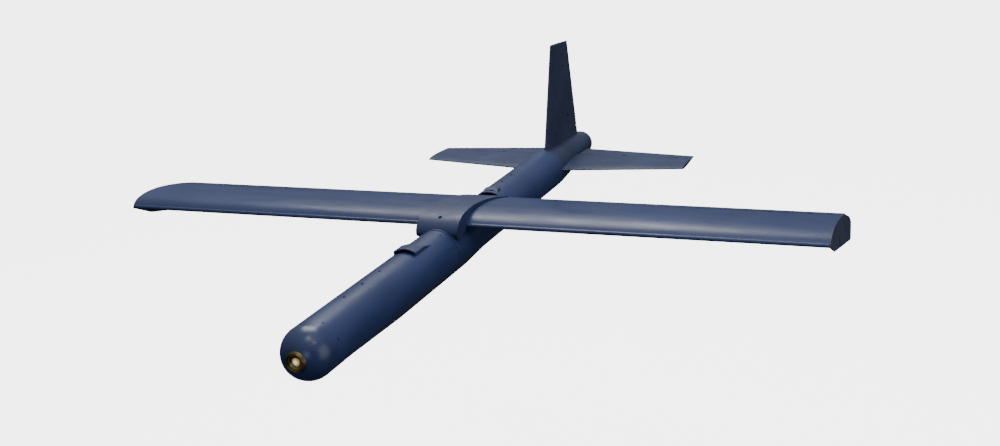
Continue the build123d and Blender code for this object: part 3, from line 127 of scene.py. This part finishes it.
def texture(tree, kind, scale, stretch=(1, 1, 1), **values):
    """Procedural texture read from object coordinates; scale is in cells per metre."""
    place = tree.nodes.new("ShaderNodeTexCoord")
    mapping = tree.nodes.new("ShaderNodeMapping")
    mapping.inputs["Scale"].default_value = stretch
    pattern = tree.nodes.new(f"ShaderNodeTex{kind}")
    pattern.inputs["Scale"].default_value = scale
    for label, value in values.items():
        pattern.inputs[label].default_value = value
    tree.links.new(place.outputs["Object"], mapping.inputs["Vector"])
    tree.links.new(mapping.outputs["Vector"], pattern.inputs["Vector"])
    return pattern.outputs[0]


def blend_colours(tree, factor, *stops):
    """Colour ramp over a factor; each stop is a position and a colour."""
    ramp = tree.nodes.new("ShaderNodeValToRGB")
    while len(ramp.color_ramp.elements) < len(stops):
        ramp.color_ramp.elements.new(0.5)
    for element, (position, colour) in zip(ramp.color_ramp.elements, stops):
        element.position = position
        element.color = (*colour, 1)
    tree.links.new(factor, ramp.inputs["Fac"])
    return ramp.outputs["Color"]


def rescale(tree, value, low, high, to_low, to_high):
    """Value mapped from one range to another and held inside it."""
    node = tree.nodes.new("ShaderNodeMapRange")
    for label, number in zip(("From Min", "From Max", "To Min", "To Max"), (low, high, to_low, to_high)):
        node.inputs[label].default_value = number
    tree.links.new(value, node.inputs["Value"])
    return node.outputs["Result"]


def overlay(tree, factor, under, over):
    """A plain colour laid over a colour socket where the factor is high."""
    mix = tree.nodes.new("ShaderNodeMix")
    mix.data_type = "RGBA"
    tree.links.new(factor, mix.inputs[0])
    tree.links.new(under, mix.inputs[6])
    mix.inputs[7].default_value = (*over, 1)
    return mix.outputs[2]


def relief(tree, height, depth, strength=0.6):
    """Bump on the material's surface from a height; depth is in metres."""
    bump = tree.nodes.new("ShaderNodeBump")
    bump.inputs["Distance"].default_value = depth
    bump.inputs["Strength"].default_value = strength
    tree.links.new(height, bump.inputs["Height"])
    tree.links.new(bump.outputs["Normal"], tree.nodes["Principled BSDF"].inputs["Normal"])


def worn_edges(tree):
    """Factor of chipped paint: 0 on open faces, and up to 0.75 in patches along sharp edges."""
    round_edge = tree.nodes.new("ShaderNodeBevel")
    round_edge.samples = 4
    round_edge.inputs["Radius"].default_value = 0.0016
    flat = tree.nodes.new("ShaderNodeNewGeometry")
    turn = tree.nodes.new("ShaderNodeVectorMath")
    turn.operation = "DOT_PRODUCT"
    tree.links.new(round_edge.outputs["Normal"], turn.inputs[0])
    tree.links.new(flat.outputs["Normal"], turn.inputs[1])
    edge = rescale(tree, turn.outputs["Value"], 0.99, 0.86, 0, 1)
    chips = rescale(tree, texture(tree, "Noise", 90, Detail=5), 0.46, 0.62, 0, 0.75)
    both = tree.nodes.new("ShaderNodeMath")
    both.operation = "MULTIPLY"
    tree.links.new(edge, both.inputs[0])
    tree.links.new(chips, both.inputs[1])
    return both.outputs[0]


def finish(
    name, dark, light, rough, grain=None, depth=0.0, mottle=7, stretch=(1, 1, 1), metallic=0.0, wear=None
):
    """Finish with patchy colour, dust, uneven gloss and, where asked, grain and worn edges.

    mottle and grain are in cells per metre, and depth is the grain's height in metres.
    """
    material = bpy.data.materials.new(name)
    material.use_nodes = True
    tree = material.node_tree
    shader = tree.nodes["Principled BSDF"]
    shader.inputs["Metallic"].default_value = metallic
    patches = texture(tree, "Noise", mottle, stretch, Detail=4, Roughness=0.55)
    colour = blend_colours(tree, patches, (0.32, dark), (0.68, light))
    dust = rescale(tree, texture(tree, "Noise", 260, Detail=2), 0.70, 0.78, 0, 0.35)
    colour = overlay(tree, dust, colour, tuple(0.5 * part + 0.05 for part in light))
    if wear:
        colour = overlay(tree, worn_edges(tree), colour, wear)
    tree.links.new(colour, shader.inputs["Base Color"])
    gloss = texture(tree, "Noise", 28, stretch, Detail=3)
    tree.links.new(rescale(tree, gloss, 0.3, 0.7, rough - 0.06, rough + 0.09), shader.inputs["Roughness"])
    if grain:
        relief(tree, texture(tree, "Noise", grain, stretch, Detail=3), depth)
    return material


nodes = frame["nodes"]


def dress(material, *names):
    """Give CAD nodes a finish."""
    for name in names:
        for slot in nodes[name].material_slots:
            slot.material = material


nose_paint = finish(
    "nose_paint", (0.017, 0.026, 0.08), (0.028, 0.044, 0.12), rough=0.30, grain=650, depth=0.00003, mottle=14
)
dress(nose_paint, "nose_dome")

# Nose sensor. A turned brass bezel with concentric grooves, pressed into the dome, holds a gold
# anodised ring and a coated window, whose warm glowing centre is a painted highlight. Behind them
# sits a small camera.
TUBE_RADIUS = 0.055
AXIS_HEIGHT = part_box("front_tube")[1][2] - TUBE_RADIUS


def turned_piece(name, profile, front, steps=96):
    """Solid of revolution about the fuselage axis, from closed (distance aft, radius) corners."""
    work = bmesh.new()
    ring = [work.verts.new((0, front + along, AXIS_HEIGHT + radius)) for along, radius in profile]
    edges = [work.edges.new((a, b)) for a, b in zip(ring, ring[1:] + ring[:1])]
    centre = (0, 0, AXIS_HEIGHT)
    bmesh.ops.spin(work, geom=ring + edges, cent=centre, axis=(0, 1, 0), angle=2 * pi, steps=steps)
    bmesh.ops.remove_doubles(work, verts=work.verts, dist=0.000005)
    bmesh.ops.recalc_face_normals(work, faces=work.faces)
    mesh = bpy.data.meshes.new(name)
    work.to_mesh(mesh)
    work.free()
    mesh.shade_smooth()
    mesh.set_sharp_from_angle(angle=radians(30))
    piece = bpy.data.objects.new(name, mesh)
    bpy.context.collection.objects.link(piece)
    return piece


def from_axis(tree):
    """Object coordinates measured from the fuselage axis, flattened along it."""
    place = tree.nodes.new("ShaderNodeTexCoord")
    centre = tree.nodes.new("ShaderNodeMapping")
    centre.inputs["Location"].default_value = (0, 0, -AXIS_HEIGHT)
    centre.inputs["Scale"].default_value = (1, 0, 1)
    tree.links.new(place.outputs["Object"], centre.inputs["Vector"])
    return centre.outputs["Vector"]


def lathe_metal(name, dark, light, rough):
    """Turned metal: fine rings about the fuselage axis, with tarnish in patches."""
    material = finish(name, dark, light, rough, mottle=60, metallic=1.0)
    tree = material.node_tree
    rings = tree.nodes.new("ShaderNodeTexWave")
    rings.wave_type = "RINGS"
    rings.rings_direction = "SPHERICAL"
    rings.inputs["Scale"].default_value = 420
    rings.inputs["Distortion"].default_value = 0.3
    tree.links.new(from_axis(tree), rings.inputs["Vector"])
    relief(tree, rings.outputs["Fac"], 0.00004, strength=0.5)
    return material


GROOVE_DEPTH = 0.0002
GROOVE_STEP = 0.00022
grooves = [(GROOVE_DEPTH if step % 2 else 0.0, 0.0163 + step * GROOVE_STEP) for step in range(9)]
bezel_profile = [
    (0.0, 0.0160), *grooves, (0.0, 0.0181), (0.0009, 0.0186), (0.0009, 0.0192), (0.0014, 0.0196),
    (0.0036, 0.0215), (0.0042, 0.0218), (0.0060, 0.0220), (0.0140, 0.0220), (0.0140, 0.0160),
]
bezel = turned_piece("turned_bezel", bezel_profile, front=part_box("nose_bezel")[0][1])
bezel_brass = lathe_metal("bezel_brass_turned", (0.085, 0.064, 0.026), (0.22, 0.165, 0.065), rough=0.38)
bezel.data.materials.append(bezel_brass)
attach(bezel, "airframe")
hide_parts("nose_bezel")
ring_gold = lathe_metal("lens_ring_gold", (0.13, 0.095, 0.035), (0.32, 0.24, 0.09), rough=0.34)
dress(ring_gold, "lens_ring")
window = finish(
    "lens_window", (0.62, 0.46, 0.22), (0.92, 0.78, 0.48), rough=0.12, grain=500, depth=0.00001, mottle=40
)
window_tree = window.node_tree
window_shader = window_tree.nodes["Principled BSDF"]
window_shader.inputs["Coat Weight"].default_value = 1.0
window_shader.inputs["Coat Roughness"].default_value = 0.03
# Painted highlight: the window's centre glows by emission. It is warm cream on the axis and fades to nothing
# 8 mm out, standing in for a reflection of light.
distance = window_tree.nodes.new("ShaderNodeVectorMath")
distance.operation = "LENGTH"
window_tree.links.new(from_axis(window_tree), distance.inputs[0])
window_painted_highlight = rescale(window_tree, distance.outputs["Value"], 0.0008, 0.0080, 1, 0)
painted_highlight_colour = blend_colours(
    window_tree, window_painted_highlight, (0.0, (0.05, 0.03, 0.01)), (0.45, (0.45, 0.28, 0.08)), (0.85, (1.0, 0.84, 0.55))
)
window_tree.links.new(painted_highlight_colour, window_shader.inputs["Emission Color"])
window_shader.inputs["Emission Strength"].default_value = 1.1
dress(window, "lens")
camera_case = finish(
    "camera_case", (0.02, 0.02, 0.022), (0.05, 0.05, 0.052), rough=0.5, grain=800, depth=0.00003
)
dress(camera_case, "camera_body")

# Fuselage tubes. Two lengths of wound glass-fibre tube with a sprayed satin navy coat, and a
# moulded tail cone of nearly the same colour, all glued over inner sleeves. Rubbing leaves long
# streaks. A collar covers the joint of the tubes, and an anodised ring ends the cone.
bodies = frame["record"]["behaviour"]["bodies"]
body_of = {node: body for body, held in bodies.items() for node in held}


def skin(name, material, rounding=0.0006, crease=32):
    """Skin made from a CAD node: triangles joined, faces smoothed and sharp edges rounded."""
    work = bmesh.new()
    work.from_mesh(nodes[name].data)
    bmesh.ops.remove_doubles(work, verts=work.verts, dist=0.00001)
    bmesh.ops.dissolve_limit(work, angle_limit=radians(0.4), verts=work.verts, edges=work.edges)
    mesh = bpy.data.meshes.new(name + "_skin")
    work.to_mesh(mesh)
    work.free()
    for label in [layer.name for layer in mesh.attributes if layer.name == "custom_normal"]:
        mesh.attributes.remove(mesh.attributes[label])
    mesh.shade_smooth()
    mesh.set_sharp_from_angle(angle=radians(crease))
    piece = bpy.data.objects.new(name + "_skin", mesh)
    bpy.context.collection.objects.link(piece)
    bevel = piece.modifiers.new("rounded_edges", "BEVEL")
    bevel.width = rounding
    bevel.segments = 2
    bevel.limit_method = "ANGLE"
    bevel.angle_limit = radians(crease)
    bevel.harden_normals = True
    mesh.materials.append(material)
    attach(piece, body_of[name])
    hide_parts(name)


WORN_PRIMER = (0.13, 0.15, 0.20)
tube_paint = finish(
    "tube_paint", (0.014, 0.026, 0.088), (0.024, 0.042, 0.130), rough=0.40, grain=520, depth=0.00004,
    mottle=9, stretch=(1, 0.35, 1), wear=WORN_PRIMER
)
skin("front_tube", tube_paint, rounding=0.0003)
skin("rear_tube", tube_paint, rounding=0.0003)
cone_paint = finish(
    "cone_paint", (0.018, 0.027, 0.070), (0.030, 0.043, 0.105), rough=0.42, grain=480, depth=0.00005,
    mottle=12, wear=WORN_PRIMER
)
dress(cone_paint, "tail_cone")
collar_paint = finish(
    "collar_paint", (0.024, 0.036, 0.09), (0.045, 0.062, 0.14), rough=0.36, grain=700, depth=0.00003,
    mottle=20
)
dress(collar_paint, "joint_ring")
anodised = finish(
    "tail_ring_anodised", (0.050, 0.075, 0.090), (0.095, 0.130, 0.150), rough=0.42, grain=900,
    depth=0.00002, mottle=25
)
dress(anodised, "tail_ring")

# Screws round the tube joints. Small black screws with sunk sockets, six to a ring with none over
# the skid, hold the tube ends on the sleeves. One tree makes the head and sets it at each place.


def add_socket(tree, label, kind, value):
    """Named input on a geometry tree, with its default; returns the identifier."""
    socket = tree.interface.new_socket(label, in_out="INPUT", socket_type=kind)
    socket.default_value = value
    return socket.identifier


def screw_tree(name, material):
    """Tree that instances a socketed screw head on the points of the mesh that it is given."""
    tree = bpy.data.node_groups.new(name, "GeometryNodeTree")
    tree.interface.new_socket("Geometry", in_out="INPUT", socket_type="NodeSocketGeometry")
    ids = {
        "Head": add_socket(tree, "Head radius", "NodeSocketFloat", 0.002),
        "Height": add_socket(tree, "Head height", "NodeSocketFloat", 0.0006),
        "Sides": add_socket(tree, "Head sides", "NodeSocketInt", 24),
        "Socket": add_socket(tree, "Socket share", "NodeSocketFloat", 0.5),
        "Sink": add_socket(tree, "Socket offset", "NodeSocketFloat", -0.0003),
    }
    tree.interface.new_socket("Geometry", in_out="OUTPUT", socket_type="NodeSocketGeometry")
    make = tree.nodes.new
    link = tree.links.new
    entry = make("NodeGroupInput")
    leave = make("NodeGroupOutput")
    head = make("GeometryNodeMeshCylinder")
    link(entry.outputs["Head sides"], head.inputs["Vertices"])
    link(entry.outputs["Head radius"], head.inputs["Radius"])
    link(entry.outputs["Head height"], head.inputs["Depth"])
    inset = make("GeometryNodeExtrudeMesh")
    inset.inputs["Offset Scale"].default_value = 0.0
    link(head.outputs["Mesh"], inset.inputs["Mesh"])
    link(head.outputs["Top"], inset.inputs["Selection"])
    shrink = make("GeometryNodeScaleElements")
    link(entry.outputs["Socket share"], shrink.inputs["Scale"])
    link(inset.outputs["Mesh"], shrink.inputs["Geometry"])
    link(inset.outputs["Top"], shrink.inputs["Selection"])
    sink = make("GeometryNodeExtrudeMesh")
    link(entry.outputs["Socket offset"], sink.inputs["Offset Scale"])
    link(shrink.outputs["Geometry"], sink.inputs["Mesh"])
    link(inset.outputs["Top"], sink.inputs["Selection"])
    outward = make("GeometryNodeInputNamedAttribute")
    outward.data_type = "FLOAT_VECTOR"
    outward.inputs["Name"].default_value = "outward"
    aim = make("FunctionNodeAlignRotationToVector")
    aim.axis = "Z"
    link(outward.outputs["Attribute"], aim.inputs["Vector"])
    spread = make("GeometryNodeInstanceOnPoints")
    link(entry.outputs["Geometry"], spread.inputs["Points"])
    link(sink.outputs["Mesh"], spread.inputs["Instance"])
    link(aim.outputs["Rotation"], spread.inputs["Rotation"])
    real = make("GeometryNodeRealizeInstances")
    link(spread.outputs["Instances"], real.inputs["Geometry"])
    coat = make("GeometryNodeSetMaterial")
    coat.inputs["Material"].default_value = material
    link(real.outputs["Geometry"], coat.inputs["Geometry"])
    link(coat.outputs["Geometry"], leave.inputs["Geometry"])
    return tree, ids


def screw_row(name, places, tree, ids, head, height, body):
    """Screws at (point, normal) places, made a plain mesh that rides on one body."""
    seat = bpy.data.meshes.new(name + "_seat")
    seat.from_pydata([point for point, normal in places], [], [])
    aims = seat.attributes.new("outward", "FLOAT_VECTOR", "POINT")
    for spot, (point, normal) in zip(aims.data, places):
        spot.vector = normal
    holder = bpy.data.objects.new(name + "_holder", seat)
    bpy.context.collection.objects.link(holder)
    layout = holder.modifiers.new("screws", "NODES")
    layout.node_group = tree
    layout[ids["Head"]] = head
    layout[ids["Height"]] = height
    evaluated = holder.evaluated_get(bpy.context.evaluated_depsgraph_get())
    mesh = bpy.data.meshes.new_from_object(evaluated)
    bpy.data.objects.remove(holder)
    piece = bpy.data.objects.new(name, mesh)
    bpy.context.collection.objects.link(piece)
    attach(piece, body)


black_oxide = finish(
    "black_oxide", (0.010, 0.011, 0.014), (0.030, 0.032, 0.040), rough=0.38, grain=1500, depth=0.00002,
    metallic=0.8
)
socket_screw, socket_ids = screw_tree("socket_screw", black_oxide)
BELLY = 270
SKID_CLEARANCE = 34
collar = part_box("joint_ring")
ahead_of_wing = collar[0][1] + 0.012
under_wing = collar[1][1] + 0.006
behind_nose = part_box("nose_dome")[0][1] + 0.076
ring_places = []
for station in (ahead_of_wing, under_wing, behind_nose):
    for step in range(8):
        turned = 22.5 + 45 * step
        if abs(turned - BELLY) > SKID_CLEARANCE:
            normal = (cos(radians(turned)), 0, sin(radians(turned)))
            point = (TUBE_RADIUS * normal[0], station, AXIS_HEIGHT + TUBE_RADIUS * normal[2])
            ring_places.append((point, normal))
screw_row("tube_screws", ring_places, socket_screw, socket_ids, 0.0019, 0.0006, "airframe")
dress(black_oxide, "top_screws")

# Cooling scoop and outlet. Two small vacuum-formed blisters bonded over slots in the tube's top;
# air comes in at the scoop and leaves behind the wing. Their rims are trimmed by hand.
moulding = finish(
    "navy_moulding", (0.014, 0.025, 0.078), (0.024, 0.040, 0.115), rough=0.46, grain=380, depth=0.00007,
    mottle=16, wear=WORN_PRIMER
)
skin("cooling_scoop", moulding, rounding=0.0007)
skin("cooling_outlet", moulding, rounding=0.0006)

# Belly skid. A keel plate of black polyethylene let into the nose and glued along the tube. Its
# underside is scratched lengthways from landings.
skid_finish = finish(
    "skid_plastic", (0.012, 0.013, 0.020), (0.030, 0.032, 0.042), rough=0.58, grain=240, depth=0.00012,
    mottle=30, stretch=(6, 0.25, 6), wear=(0.10, 0.10, 0.11)
)
skin("belly_skid", skid_finish, rounding=0.0008)

# Wing halves and ailerons. Moulded glass skins over plywood ribs, in nearly the tubes' navy. The
# ailerons are cut from the same moulding and turn on a steel torque rod in the wing's cove. A flat
# plate closes each tip, and a screwed hatch under each half covers the servo.
wing_paint = finish(
    "wing_paint", (0.015, 0.028, 0.092), (0.025, 0.044, 0.135), rough=0.37, grain=430, depth=0.00005,
    mottle=5, stretch=(0.35, 1, 1), wear=WORN_PRIMER
)
for name in ("wing_left", "wing_right"):
    skin(name, wing_paint, rounding=0.0004)
dress(wing_paint, "aileron_left", "aileron_right")
plate_paint = finish(
    "tip_plate_paint", (0.030, 0.038, 0.066), (0.050, 0.062, 0.100), rough=0.44, grain=420, depth=0.00005,
    mottle=22, wear=WORN_PRIMER
)
for name in ("tip_plate_left", "tip_plate_right"):
    skin(name, plate_paint, rounding=0.0008)
SCREW_INSET = 0.004
SCREW_SPAN = 0.036
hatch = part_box("servo_hatches")
outer = hatch[1][0] - SCREW_INSET
seat_height = hatch[0][2] + 0.0001
for hand, side in ((1, "left"), (-1, "right")):
    corners = []
    for x in (outer, outer - SCREW_SPAN):
        for y in (hatch[0][1] + SCREW_INSET, hatch[1][1] - SCREW_INSET):
            corners.append(((hand * x, y, seat_height), (0, 0, -1)))
    screw_row(
        f"hatch_screws_{side}", corners, socket_screw, socket_ids, 0.0015, 0.0005, "airframe"
    )
dress(wing_paint, "servo_hatches")

# Wing saddle. A thick cuff moulded in navy nylon wraps the wing roots and the tube's top. One
# black screw at its nose holds it down, and glue does the rest.
skin("wing_saddle", moulding, rounding=0.0010)

# Tailplane, fin and their hinged surfaces. Foam cores with painted glass skins; the elevators and
# the rudder turn on steel torque rods whose brackets sit in notches of the hinge line.
tail_paint = finish(
    "tail_paint", (0.020, 0.031, 0.082), (0.033, 0.049, 0.118), rough=0.40, grain=430, depth=0.00005,
    mottle=9, wear=WORN_PRIMER
)
fin_paint = finish(
    "fin_paint", (0.024, 0.031, 0.068), (0.040, 0.050, 0.104), rough=0.44, grain=430, depth=0.00005,
    mottle=9, wear=WORN_PRIMER
)
for name in ("tailplane_left", "tailplane_right", "elevator_left", "elevator_right"):
    skin(name, tail_paint, rounding=0.0004)
for name in ("fin", "rudder"):
    skin(name, fin_paint, rounding=0.0005)

# Linkages. Torque rods and pushrods are bright steel wire; the levers are black glass-filled
# nylon on the servo side. Nylon brackets and bronze bushes carry the rods.
steel = finish(
    "drawn_steel", (0.30, 0.30, 0.31), (0.52, 0.52, 0.53), rough=0.28, grain=1400, depth=0.00001,
    mottle=120, stretch=(0.2, 1, 1), metallic=1.0
)
dress(
    steel, "aileron_rod_left", "aileron_rod_right", "elevator_rod", "rudder_rod", "aileron_pushrod_left",
    "aileron_pushrod_right", "elevator_pushrod", "rudder_pushrod", "propeller_shaft", "motor_bearings"
)
lever_nylon = finish(
    "lever_nylon", (0.02, 0.02, 0.022), (0.05, 0.05, 0.055), rough=0.48, grain=700, depth=0.00004, mottle=90
)
dress(lever_nylon, "aileron_arm_left", "aileron_arm_right", "elevator_arm", "rudder_arm")
bracket_nylon = finish(
    "bracket_nylon", (0.018, 0.022, 0.04), (0.035, 0.042, 0.07), rough=0.5, grain=800, depth=0.00004,
    mottle=60
)
dress(bracket_nylon, "hinge_brackets")
bronze = finish(
    "sintered_bronze", (0.24, 0.15, 0.06), (0.42, 0.28, 0.13), rough=0.45, grain=2200, depth=0.00003,
    mottle=200, metallic=1.0
)
dress(bronze, "rod_bushes")
servo_case = finish(
    "servo_case", (0.03, 0.03, 0.034), (0.06, 0.06, 0.066), rough=0.32, grain=900, depth=0.00003, mottle=70
)
dress(servo_case, "servos")

# Inner frame. Plywood ribs, frames and trays cut on a router and glued in, with carbon spar tubes
# through the wing and tailplane roots. The ply has long grain streaks.
birch_ply = finish(
    "birch_ply", (0.40, 0.27, 0.14), (0.62, 0.46, 0.27), rough=0.62, mottle=35, stretch=(0.12, 1.4, 1.4)
)
ply_grain = texture(birch_ply.node_tree, "Wave", 140, (0.1, 1, 1), Distortion=5.0, Detail=3)
relief(birch_ply.node_tree, ply_grain, 0.00008)
dress(birch_ply, "wing_ribs", "fuselage_frames", "equipment_tray", "tail_tray")
carbon = finish("carbon_tube", (0.012, 0.012, 0.014), (0.032, 0.032, 0.036), rough=0.28, mottle=80)
carbon_weave = texture(carbon.node_tree, "Checker", 420)
relief(carbon.node_tree, carbon_weave, 0.00004)
dress(carbon, "spar_tubes")

# Equipment on the tray. A shrink-wrapped battery under two webbing straps, and moulded cases for
# the controller, receivers and speed controller. All are black but the satellite receiver's.
wrap = finish(
    "battery_wrap", (0.03, 0.09, 0.28), (0.06, 0.16, 0.42), rough=0.24, grain=160, depth=0.00015, mottle=18
)
dress(wrap, "battery")
webbing = finish("strap_webbing", (0.008, 0.008, 0.009), (0.03, 0.03, 0.03), rough=0.85, mottle=60)
webbing_ribs = texture(webbing.node_tree, "Wave", 330, (0.2, 1, 0.2), Distortion=0.4)
relief(webbing.node_tree, webbing_ribs, 0.0002)
dress(webbing, "battery_straps")
for name, dark, light in (
    ("flight_controller", (0.03, 0.03, 0.035), (0.055, 0.055, 0.06)),
    ("gps_receiver", (0.30, 0.30, 0.29), (0.45, 0.45, 0.44)),
    ("radio_receiver", (0.02, 0.022, 0.025), (0.045, 0.047, 0.05)),
    ("speed_controller", (0.015, 0.015, 0.017), (0.04, 0.04, 0.042)),
):
    case = finish(name + "_case", dark, light, rough=0.45, grain=600, depth=0.00006, mottle=50)
    dress(case, name)

# Motor and propeller driver. An outrunner on the plywood bulkhead turns the shaft; a dark moulded
# dome on the shaft carries a pusher propeller, which isn't fitted here.
copper = finish(
    "winding_copper", (0.30, 0.11, 0.04), (0.55, 0.24, 0.10), rough=0.35, grain=1500, depth=0.0001,
    mottle=150, metallic=1.0
)
dress(copper, "motor_stator")
bell_metal = finish(
    "motor_bell_metal", (0.08, 0.08, 0.085), (0.16, 0.16, 0.17), rough=0.33, grain=1300, depth=0.00002,
    metallic=1.0
)
dress(bell_metal, "motor_bell")
driver_cap = finish(
    "driver_cap", (0.013, 0.015, 0.016), (0.036, 0.038, 0.032), rough=0.42, grain=450, depth=0.00006,
    mottle=30, wear=(0.09, 0.09, 0.07)
)
skin("propeller_driver", driver_cap, rounding=0.0006)
